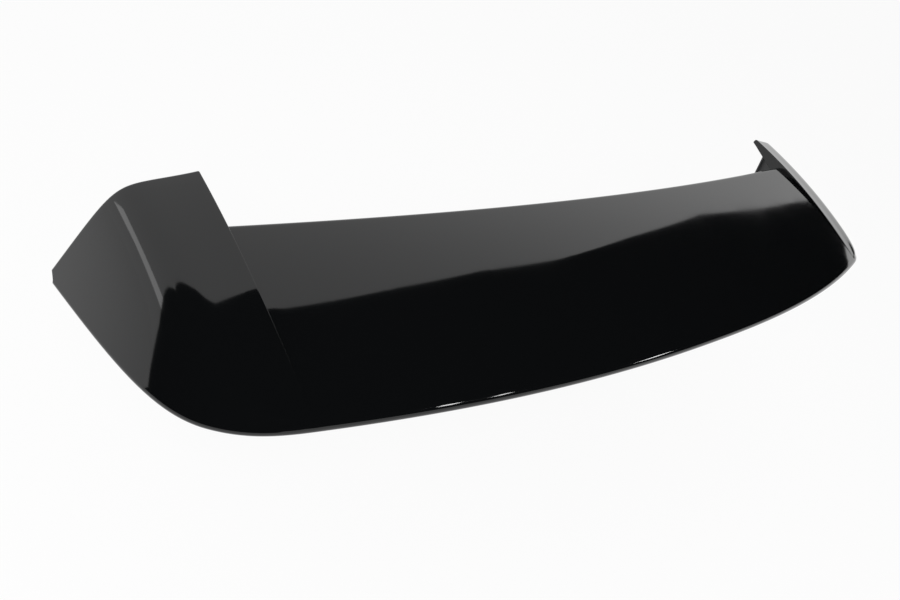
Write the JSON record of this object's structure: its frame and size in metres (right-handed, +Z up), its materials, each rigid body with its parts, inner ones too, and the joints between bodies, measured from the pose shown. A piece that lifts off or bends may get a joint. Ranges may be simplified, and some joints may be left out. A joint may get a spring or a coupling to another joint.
{
  "type": "car roof spoiler",
  "caption": "Hatchback roof spoiler moulded in gloss black: bowed centre panel between raised wings with forward horns and turned-down side flaps, open beneath.",
  "frame": {"origin": "midway along the row of fixings, on the plane where the insert flanges meet the tailgate", "axes": "+X across the car to its right side, +Y to the front of the car, +Z up"},
  "size_m": [1.2378, 0.3222, 0.1183],
  "materials": {
    "shell_gloss_black": "high gloss black lacquer over moulded plastic",
    "insert_brass": "machined brass"
  },
  "bodies": {
    "root": {"spoiler_shell": "shell_gloss_black", "insert_outer_left": "insert_brass", "insert_inner_left": "insert_brass", "insert_inner_right": "insert_brass", "insert_outer_right": "insert_brass"}
  },
  "joints": []
}
